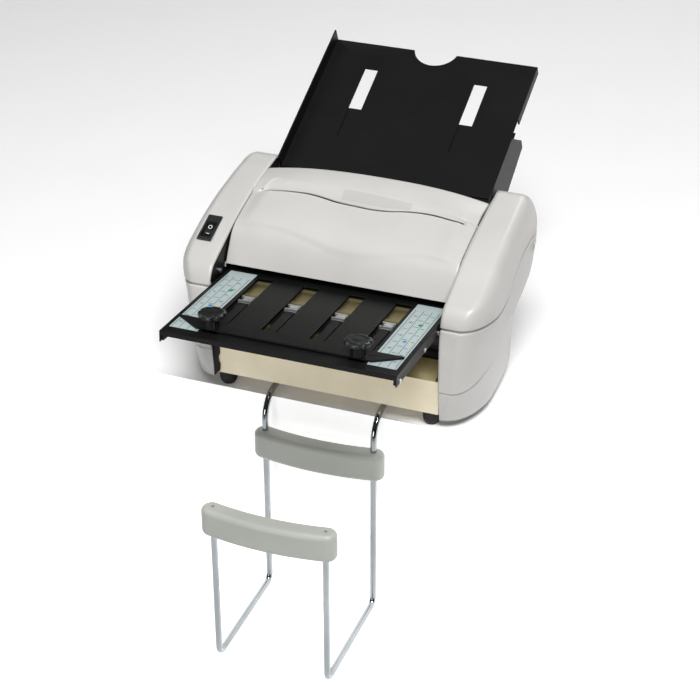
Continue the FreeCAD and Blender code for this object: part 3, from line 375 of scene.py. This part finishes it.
def cover_part(name, side, keep_above, cuts, move, thick):
    """The part of a cover above or below its seam, moved along its normals by what move gives."""
    points, faces = cover_surface()
    mesh = bmesh.new()
    made = [mesh.verts.new((x, y, z - seam_height(y))) for x, y, z in points]
    for face in faces:
        mesh.faces.new([made[i] for i in face])
    bmesh.ops.remove_doubles(mesh, verts=mesh.verts, dist=0.05)
    limit = cuts[0]
    for height in cuts:
        geometry = mesh.verts[:] + mesh.edges[:] + mesh.faces[:]
        bmesh.ops.bisect_plane(mesh, geom=geometry, plane_co=(0, 0, height), plane_no=(0, 0, 1),
                               clear_inner=keep_above and height == limit,
                               clear_outer=not keep_above and height == limit)
    for vertex in mesh.verts:
        vertex.co.z += seam_height(vertex.co.y)
    if not keep_above:
        for vertex in mesh.verts:
            vertex.co.z -= groove_height(vertex.co.y)
        for height in GROOVE_CUTS:
            geometry = mesh.verts[:] + mesh.edges[:] + mesh.faces[:]
            bmesh.ops.bisect_plane(mesh, geom=geometry, plane_co=(0, 0, height), plane_no=(0, 0, 1))
        for vertex in mesh.verts:
            vertex.co.z += groove_height(vertex.co.y)
    bmesh.ops.remove_doubles(mesh, verts=mesh.verts, dist=0.04)
    bmesh.ops.dissolve_degenerate(mesh, edges=mesh.edges, dist=0.02)
    bmesh.ops.recalc_face_normals(mesh, faces=mesh.faces)
    mesh.normal_update()
    outward = sum(face.normal.x * face.calc_area() for face in mesh.faces)
    if outward < 0:
        bmesh.ops.reverse_faces(mesh, faces=mesh.faces)
    mesh.normal_update()
    shifts = [vertex.normal * move(vertex.co) for vertex in mesh.verts]
    for vertex, shift in zip(mesh.verts, shifts):
        vertex.co += shift
    for vertex in mesh.verts:
        vertex.co *= MM
        vertex.co.x *= side
    if side < 0:
        bmesh.ops.reverse_faces(mesh, faces=mesh.faces)
    data = bpy.data.meshes.new(name)
    mesh.to_mesh(data)
    mesh.free()
    return finish_piece(name, data, LOOKS["cover_plastic"], "machine", thick, 0.0, 40)


def skirt_shift(point):
    """The skirt tucks under the cap, and its foot stands back behind a groove that fades out."""
    below = seam_height(point.y) - point.z
    tucked = -2.0 * (1 - float(ease(below, 2.6, 4.2))) * (1 - float(ease(point.y, 172, 194)))
    tucked -= 0.25 * (1 - float(ease(below, 4.2, 8.0)))
    level = point.z - groove_height(point.y)
    foot = 1.0 - float(ease(level, -0.9, 0.3))
    notch = max(0.0, 1 - abs(level + 0.3) / 1.2)
    fade = 1.0 - float(ease(point.y, 24, 66))
    return tucked - (0.5 * foot + 1.1 * notch) * fade


def side_covers():
    for side, word in ((1, "right"), (-1, "left")):
        cap = cover_part(f"{word}_cover_cap", side, True, CAP_CUTS, lambda point: 0.0, CAP_THICK)
        skirt = cover_part(f"{word}_cover_skirt", side, False, SKIRT_CUTS, skirt_shift, SKIRT_THICK)
        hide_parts(f"{word}_cover")
        if side < 0:
            open_for_switch(cap)
        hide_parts(f"{word}_cover")


def open_for_switch(cap):
    """Cut the switch's opening in the left cap."""
    low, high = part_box("switch_bezel")
    tilt = math.radians(19)
    middle = (low + high) / 2
    bpy.ops.mesh.primitive_cube_add(size=1)
    cutter = bpy.context.active_object
    cutter.matrix_world = (Matrix.Translation(middle) @ Matrix.Rotation(tilt, 4, "X")
                           @ Matrix.Diagonal((0.0132, 0.0312, 0.05, 1)))
    modifier = cap.modifiers.new("opening", "BOOLEAN")
    modifier.operation, modifier.object, modifier.solver = "DIFFERENCE", cutter, "EXACT"
    bpy.context.view_layer.update()
    bake(cap)
    bpy.data.objects.remove(cutter)


side_covers()


# ---------------------------------------------------------------- hood
HOOD_PROFILE = [(34.5, 121.5), (42, 135.2), (49, 145.6), (58, 153.8), (70, 159.8), (86, 165.2),
                (100, 169.4), (112, 174), (124, 178.2), (136, 181.6), (148, 183.6)]
WAVE = [(-117, 59), (-100, 60), (-86, 60.3), (-66, 59), (-47, 56.4), (-30, 53.2), (-12, 50.2),
        (5, 48.8), (20, 49), (36, 51), (52, 54), (66, 56.6), (80, 57.6), (98, 57), (117, 55.7)]
SLOT_FRONT = [(-117, 103.4), (-100, 104.2), (-80, 106), (-54, 106.4), (-40, 104.4), (-27, 102.2),
              (-8, 101), (12, 100.2), (28, 101.4), (45, 104.4), (60, 105.8), (75, 105.6),
              (94, 103.6), (117, 103.6)]
SLOT_BACK = [(-117, 106), (-108.5, 107), (-106, 112), (-104, 117), (-84, 119.4), (-60, 121), (-35, 122.4),
             (-10, 123), (15, 121.6), (40, 119.2), (66, 117), (90, 114.4), (106, 110.4), (117, 109)]
SLOT_ENDS = (-107.5, 108.0)
HOOD_HALF = 116.6
SLOT_WIDTH, RAMP_DROP = 4.7, 3.2
HOOD_FRONT, HOOD_BACK = 34.5, 148.0
COVER_EDGE = curve(FRONT_EDGE, np.linspace(2.6, 5.6, 80)).T
HOOD_FINE = (np.linspace(HOOD_FRONT, HOOD_BACK, 240),
             curve(HOOD_PROFILE, np.linspace(HOOD_FRONT, HOOD_BACK, 240)))
# Grid lines of the hood from front to back: tucked under, up the face, over the step, up to the
# slot and over its lip. The strip after them is the slot's floor, which is left open over SLOT_SPAN,
# the slot's middle and half its length.
TUCK_LINES, FACE_LINES, STEP_LINES, TOP_LINES, LIP_LINES = 2, 12, 5, 17, 3
SLOT_SPAN = (-0.5, 103.5)


def hood_height(x, y):
    """The hood's skin before its step and recess: an arched profile, lower at its ends."""
    crown = 170.8 + 13.5 * (1 - (x / 117.5) ** 2)
    level = float(np.interp(y, HOOD_FINE[0], HOOD_FINE[1]))
    gap = crown - level
    soft = 3.0
    level -= soft * math.log(1 + math.exp(-gap / soft)) * 0.9
    share = float(ease(abs(x), 98, 116) * ease(y, 44, 62) * (1 - ease(y, 100, 128)))
    return level + (float(np.interp(y, *COVER_EDGE)) + 0.3 - level) * share


def ramp_drop(share, deep):
    """Depth of the recess's ramp at a share of the way from the slot to its back edge."""
    return (deep - 0.75) * (1 - float(ease(share, 0.0, 1.0))) + 0.75 * min(1.0, deep / RAMP_DROP)


def hood_rows(x):
    """Depths of the hood's grid lines at one station across it, with each one's drop."""
    wave, front, back = (float(curve(keys, x)) for keys in (WAVE, SLOT_FRONT, SLOT_BACK))
    inside = float(ease(x, SLOT_ENDS[0], SLOT_ENDS[0] + 4.5)
                   * (1 - ease(x, SLOT_ENDS[1] - 5.0, SLOT_ENDS[1])))
    deep = RAMP_DROP * inside
    rows = [(y, 1.5) for y in np.linspace(HOOD_FRONT, wave - 2.6, FACE_LINES)]
    rows += [(wave + d, 1.5 * (1 - float(ease(d, -2.6, 2.0)))) for d in (-1.7, -0.8, 0.1, 1.0, 2.0)]
    rows += [(y, 0.0) for y in np.linspace(wave + 2.0, front - 1.2, TOP_LINES + 1)[1:]]
    rows += [(front - 0.5, 0.05), (front - 0.12, 0.35 * inside), (front + 0.1, 0.8 * deep),
             (front + 0.35, deep), (front + SLOT_WIDTH, deep)]
    for share in np.linspace(0, 1, 9)[1:]:
        y = front + SLOT_WIDTH + (back - front - SLOT_WIDTH - 0.8) * share
        rows.append((y, ramp_drop(share, deep)))
    rows += [(back - 0.3, 0.5 * inside), (back + 0.2, 0.12 * inside), (back + 1.0, 0.0)]
    rows += [(y, 0.0) for y in np.linspace(back + 1.0, 146.6, 10)[1:]]
    rows += [(147.4, 0.25), (147.9, 0.9), (148.0, 1.8), (148.0, 4.0)]
    return rows


def hood():
    stations = np.concatenate([[-HOOD_HALF, -116.3, -115.6], np.linspace(-114.5, -106, 14),
                               np.linspace(-104, 100, 70), np.linspace(101.5, 114.5, 14),
                               [115.6, 116.3, HOOD_HALF]])
    points, columns = [], []
    for x in stations:
        round_off = 1.0 - math.sqrt(max(0.0, 1 - max(0.0, abs(x) - (HOOD_HALF - 1.0)) ** 2))
        rows = [(x, y, hood_height(x, y) - drop - round_off) for y, drop in hood_rows(x)]
        first, last = rows[0], rows[-1]
        tucked = [(x, first[1] + 2.2, first[2] - 0.3), (x, first[1] + 0.5, first[2] - 0.6)]
        wall_end = max(172.2, last[2] - 9) if last[2] > 174 else last[2] - 1.6
        columns.append(tucked + rows + [(x, 148.0, wall_end)])
    for column in (columns[0], columns[-1]):
        lowered = [(x, y, z - 3.0) for x, y, z in column]
        if column is columns[0]:
            columns = [lowered] + columns
        else:
            columns = columns + [lowered]
    for column in columns:
        points += column
    tall = len(columns[0])
    slot_row = TUCK_LINES + FACE_LINES + STEP_LINES + TOP_LINES + LIP_LINES
    middle, reach = SLOT_SPAN
    faces = [face for face in grid_faces(len(columns), tall)
             if face[0] % tall != slot_row or abs(points[face[0]][0] - middle) > reach]
    piece = add("hood_shell", points, faces,
                LOOKS["cover_plastic"], "machine", thick=1.8, angle=50)
    piece.data.flip_normals()
    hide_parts("hood")
    label()


def label():
    """A blank pale label on the ramp of the hood's recess."""
    points, columns, rows = [], 24, 5
    for r in range(rows):
        for c in range(columns):
            x = -24 + 72 * c / (columns - 1)
            front, back = float(curve(SLOT_FRONT, x)), float(curve(SLOT_BACK, x))
            share = 0.22 + 0.66 * r / (rows - 1)
            y = front + SLOT_WIDTH + (back - front - SLOT_WIDTH - 0.8) * share
            points.append((x, y, hood_height(x, y) - ramp_drop(share, RAMP_DROP) + 0.22))
    add("recess_label", points, grid_faces(rows, columns), LABEL, "machine", angle=60)


hood()


# ---------------------------------------------------------------- fold plate's scales
PLATE_TILT = math.radians(5.76)
PRINT_HIGH, DOT_HIGH = 0.30, 0.34
PLATE = Matrix.Translation((0, -0.119, 0.128)) @ Matrix.Rotation(-PLATE_TILT, 4, "X")


def flat_marks(name, strips, digits, look, turn=0.0):
    """Printed strips (x0, x1, y0, y1) and digits (text, x, y, size) just above the scale labels."""
    mesh = bmesh.new()
    for x0, x1, y0, y1 in strips:
        corners = [mesh.verts.new(Vector((x, y, PRINT_HIGH)) * MM) for x, y in
                   ((x0, y0), (x1, y0), (x1, y1), (x0, y1))]
        mesh.faces.new(corners)
    for text, x, y, size in digits:
        shape = bpy.data.curves.new("digit", "FONT")
        shape.body, shape.size = text, size * MM
        shape.align_x, shape.align_y = "CENTER", "CENTER"
        shape.resolution_u = 3
        holder = bpy.data.objects.new("digit", shape)
        scene.collection.objects.link(holder)
        bpy.context.view_layer.update()
        flat = bpy.data.meshes.new_from_object(
            holder.evaluated_get(bpy.context.evaluated_depsgraph_get()))
        flat.transform(Matrix.Translation(Vector((x, y, PRINT_HIGH)) * MM) @ Matrix.Rotation(turn, 4, "Z"))
        mesh.from_mesh(flat)
        bpy.data.objects.remove(holder)
    mesh.transform(PLATE)
    bmesh.ops.recalc_face_normals(mesh, faces=mesh.faces)
    data = bpy.data.meshes.new(name)
    mesh.to_mesh(data)
    mesh.free()
    return finish_piece(name, data, look, "front_plate", angle=60)


def scales():
    for side, word in ((-1, "left"), (1, "right")):
        def span(a, b):
            return (min(side * a, side * b), max(side * a, side * b))
        inner, outer = 85.0, 109.5
        strips = [(*span(93.3, 93.8), 13, 141), (*span(101.5, 102.0), 13, 141),
                  (*span(inner, inner + 0.45), 13, 141), (*span(outer - 0.45, outer), 13, 141)]
        digits = []
        for number in range(41):
            y = 18 + 3 * number
            wide = 2.9 if number % 5 == 0 else 1.7
            strips.append((*span(inner, inner + wide), y, y + 0.5))
            strips.append((*span(outer - wide, outer), y + 1.2, y + 1.7))
        for number in range(8):
            digits.append((str(number + 2), side * 90.2, 22 + 15 * number, 6.2))
            digits.append((str(9 - number), side * 105.2, 26 + 15 * number, 5.6))
            strips.append((*span(95.0, 100.2), 28.5 + 15 * number, 29.3 + 15 * number))
        flat_marks(f"{word}_scale_marks", strips, digits, PRINT, math.pi / 2)
    for name, x, y, radius, look in (
            ("left_green_dot", -92, 109, 2.5, "green"), ("left_blue_dot", -95.5, 69.5, 2.1, "blue"),
            ("left_yellow_dot", -90.6, 70.5, 1.5, "yellow"),
            ("right_green_dot", 100.8, 109, 2.5, "green"),
            ("right_blue_dot", 98.6, 69.5, 2.1, "blue"),
            ("right_yellow_dot", 103.2, 70.5, 1.5, "yellow")):
        ring = [(x + radius * math.cos(a), y + radius * math.sin(a), DOT_HIGH)
                for a in np.linspace(0, 2 * math.pi, 25)[:-1]]
        ring = [tuple(PLATE @ (Vector(p) * MM) / MM) for p in ring]
        add(name, ring, [tuple(range(24))], DOTS[look], "front_plate", angle=60)


scales()


# ---------------------------------------------------------------- knobs
def knob(name, node, body, spot, tilt, base):
    """A stop knob: fluted stem, scalloped cap with a domed top and a raised rim."""
    around, high_total = 96, 16.7
    rows = []
    stem = [(0.0, 1.9, 0), (0.2, 6.4, 0.25), (0.8, 7.2, 0.9), (5.0, 7.0, 1.0), (9.6, 7.0, 1.0),
            (10.8, 7.4, 0.6)]
    for high, radius, flute in stem:
        rows.append([(radius - 0.75 * flute * (0.5 + 0.5 * math.cos(12 * a)), a, high)
                     for a in np.linspace(0, 2 * math.pi, around + 1)[:-1]])
    cap = [(11.2, 10.4, 0.3), (11.7, 12.4, 0.9), (12.5, 13.2, 1.0), (14.2, 13.35, 1.0),
           (15.3, 13.0, 0.95), (16.1, 12.0, 0.8), (16.55, 10.4, 0.45), (16.5, 8.6, 0.15),
           (16.2, 7.4, 0.0), (16.3, 5.6, 0.0), (16.6, 2.6, 0.0)]
    for high, radius, scallop in cap:
        rows.append([(radius - 2.3 * scallop * max(0.0, math.cos(6 * a)) ** 3, a, high)
                     for a in np.linspace(0, 2 * math.pi, around + 1)[:-1]])
    place = Matrix.Translation(Vector(spot) * MM) @ Matrix.Rotation(-tilt, 4, "X")
    points = []
    for row in rows:
        points += [place @ (Vector((r * math.cos(a), r * math.sin(a), base + high)) * MM) / MM
                   for r, a, high in row]
    faces = grid_faces(len(rows), around, closed=True)
    points.append(place @ (Vector((0, 0, base + high_total)) * MM) / MM)
    last = (len(rows) - 1) * around
    faces += [(last + c, last + (c + 1) % around, len(points) - 1) for c in range(around)]
    points.append(place @ (Vector((0, 0, base)) * MM) / MM)
    faces += [((c + 1) % around, c, len(points) - 1) for c in range(around)]
    piece = add(name, [tuple(p) for p in points], faces, LOOKS["black_plastic"], body,
                angle=32)
    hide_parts(node)


REAR_TILT = math.radians(12)
KNOB_BASE = 2.7


def knobs():
    for word, tilt in (("left", PLATE_TILT), ("right", PLATE_TILT), ("rear", REAR_TILT)):
        node = "rear_stop_knob" if word == "rear" else f"{word}_stop_knob"
        turn = next(j for j in frame["joints"] if j["name"] == f"{word}_knob_turn")
        knob(f"{word}_knob", node, f"{word}_knob", Vector(turn["pos_m"]) / MM, tilt, KNOB_BASE)


knobs()


# ---------------------------------------------------------------- left frame's front edge
def frame_edge():
    """The black steel corner that shows between the left cover and the front panel."""
    outline = [(-117.6, 56), (-111, 56), (-110.8, 37), (-112.4, 33.5), (-112.4, 28), (-111, 25),
               (-111.3, 17.5), (-114, 15), (-116.6, 11.5), (-117.6, 11.5)]
    count = len(outline)
    points = [(x, y, z) for y in (-1.6, -0.3) for x, z in outline]
    faces = [tuple(range(count)), tuple(reversed(range(count, 2 * count)))]
    faces += [(c, c + count, (c + 1) % count + count, (c + 1) % count) for c in range(count)]
    add("left_frame_edge", points, faces, LOOKS["black_steel"], "machine",
        bevel=0.25, angle=30)


frame_edge()


# ---------------------------------------------------------------- switch marks
def switch_marks():
    """The on and off signs on the rocker's hollowed top."""
    tilt = math.radians(19 + 8)
    pivot = next(j for j in frame["joints"] if j["name"] == "rocker_tip")["pos_m"]
    place = Matrix.Translation(Vector(pivot)) @ Matrix.Rotation(tilt, 4, "X")

    def top(y):
        return 0.95 + 1.5 * (y / 9.3) ** 2

    points, faces = [], []
    for radius in (1.55, 2.1):
        points += [(radius * math.cos(a), 3.9 + radius * math.sin(a))
                   for a in np.linspace(0, 2 * math.pi, 33)[:-1]]
    faces += [(c, (c + 1) % 32, 32 + (c + 1) % 32, 32 + c) for c in range(32)]
    start = len(points)
    points += [(-1.9, -4.3), (1.9, -4.3), (1.9, -3.7), (-1.9, -3.7)]
    faces.append(tuple(range(start, start + 4)))
    lifted = [tuple(place @ (Vector((x, y, top(y) + 0.06)) * MM) / MM) for x, y in points]
    add("switch_signs", lifted, faces, PALE_PRINT, "rocker", angle=60)


switch_marks()


# ---------------------------------------------------------------- finishes of the CAD pieces
SLOT_OF = {s["node"]: s["material_slot"] for s in frame["record"]["subparts"]}
CRISP = {"fold_plate_top": 0.35, "fold_plate_bottom": 0.2, "stop_bar": 0.4, "base_pan": 0.4,
         "feed_tray": 0.3, "tray_extension": 0.35, "rear_fold_plate": 0.3, "rear_stop": 0.3,
         "left_frame": 0.3, "right_frame": 0.3, "rear_cover": 0.4, "switch_bezel": 0.35,
         "power_inlet": 0.3, "stop_carrier": 0.15, "exit_chute": 0.3}
OWN_LOOKS = {
    "stop_carrier": banded("stop_carrier_steel", LOOKS["black_steel"],
                           [(-26, -14, 0.4, tint(214, 215, 213))]),
    # The lower sheet's gold bands are painted glints, and the black steel between them is painted shade.
    "fold_plate_bottom": banded("lower_sheet_painted_glints_and_shade", LOOKS["black_steel"],
                                [(-78, -59, 5, tint(112, 98, 64)), (-3, 28, 6, tint(176, 164, 122))]),
}
for node_name, node in frame["nodes"].items():
    if node.hide_render:
        continue
    look = OWN_LOOKS.get(node_name, LOOKS[SLOT_OF[node_name]])
    node.data.materials.clear()
    node.data.materials.append(look)
    for polygon in node.data.polygons:
        polygon.material_index = 0
    if node_name in CRISP:
        weld = node.modifiers.new("weld", "WELD")
        weld.merge_threshold = 0.00001
        bevel = node.modifiers.new("bevel", "BEVEL")
        bevel.width, bevel.segments = CRISP[node_name] * MM, 2
        bevel.limit_method, bevel.angle_limit = "ANGLE", math.radians(50)
        bevel.harden_normals = False


# ---------------------------------------------------------------- studio
def sky():
    """A studio's surroundings: bright overhead and dim at eye level, which the metals reflect."""
    world = bpy.data.worlds.new("studio")
    scene.world = world
    world.use_nodes = True
    nodes, links = world.node_tree.nodes, world.node_tree.links
    place = nodes.new("ShaderNodeTexCoord")
    parts = nodes.new("ShaderNodeSeparateXYZ")
    height = nodes.new("ShaderNodeMapRange")
    for name, number in (("From Min", 0.05), ("From Max", 0.75), ("To Min", 0.12), ("To Max", 1.1)):
        height.inputs[name].default_value = number
    links.new(place.outputs["Generated"], parts.inputs["Vector"])
    links.new(parts.outputs["Z"], height.inputs["Value"])
    links.new(height.outputs["Result"], nodes["Background"].inputs["Strength"])


def studio():
    """A white table with the catcher hanging past its edge, a floor, and soft lights."""
    white = surface("studio_white", tint(250, 250, 250), tint(252, 252, 252), (0.8, 0.9), relief=0.0)
    backdrop = surface("studio_backdrop", tint(250, 250, 250), tint(252, 252, 252), (0.8, 0.9), relief=0.0)
    for material, strength in ((white, 0.08), (backdrop, 0.6)):
        glow = material.node_tree.nodes["Principled BSDF"]
        glow.inputs["Emission Color"].default_value = (1, 1, 1, 1)
        glow.inputs["Emission Strength"].default_value = strength

    def block(name, low, high):
        x0, y0, z0 = low
        x1, y1, z1 = high
        points = [(x, y, z) for z in (z0, z1) for y in (y0, y1) for x in (x0, x1)]
        faces = [(0, 2, 3, 1), (4, 5, 7, 6), (0, 1, 5, 4), (2, 6, 7, 3), (0, 4, 6, 2), (1, 3, 7, 5)]
        data = bpy.data.meshes.new(name)
        data.from_pydata([tuple(c * MM for c in p) for p in points], [], faces)
        data.materials.append(white)
        data.materials.append(backdrop)
        for polygon in data.polygons:
            polygon.material_index = 1 if polygon.normal.y < -0.5 else 0
        thing = bpy.data.objects.new(name, data)
        scene.collection.objects.link(thing)

    block("table", (-4000, -1, -900), (4000, 5000, 0))
    block("floor", (-6000, -6000, -920), (6000, 5200, -900))

    sky()

    def lamp(name, place, size, power):
        data = bpy.data.lights.new(name, "AREA")
        data.shape, data.size, data.energy = "SQUARE", size, power
        holder = bpy.data.objects.new(name, data)
        scene.collection.objects.link(holder)
        holder.location = place
        holder.rotation_mode = "QUATERNION"
        way = Vector((0, 0.05, 0.1)) - Vector(place)
        holder.rotation_quaternion = way.to_track_quat("-Z", "Y")

    lamp("key", (0.65, -0.95, 2.1), 1.1, 65)
    lamp("left", (-1.3, 0.3, 1.6), 0.9, 3)
    lamp("rear", (0.3, 2.2, 1.7), 1.0, 12)
    lamp("front", (-0.5, -2.3, 0.30), 0.8, 9)
    scene.view_settings.view_transform = "Standard"


studio()
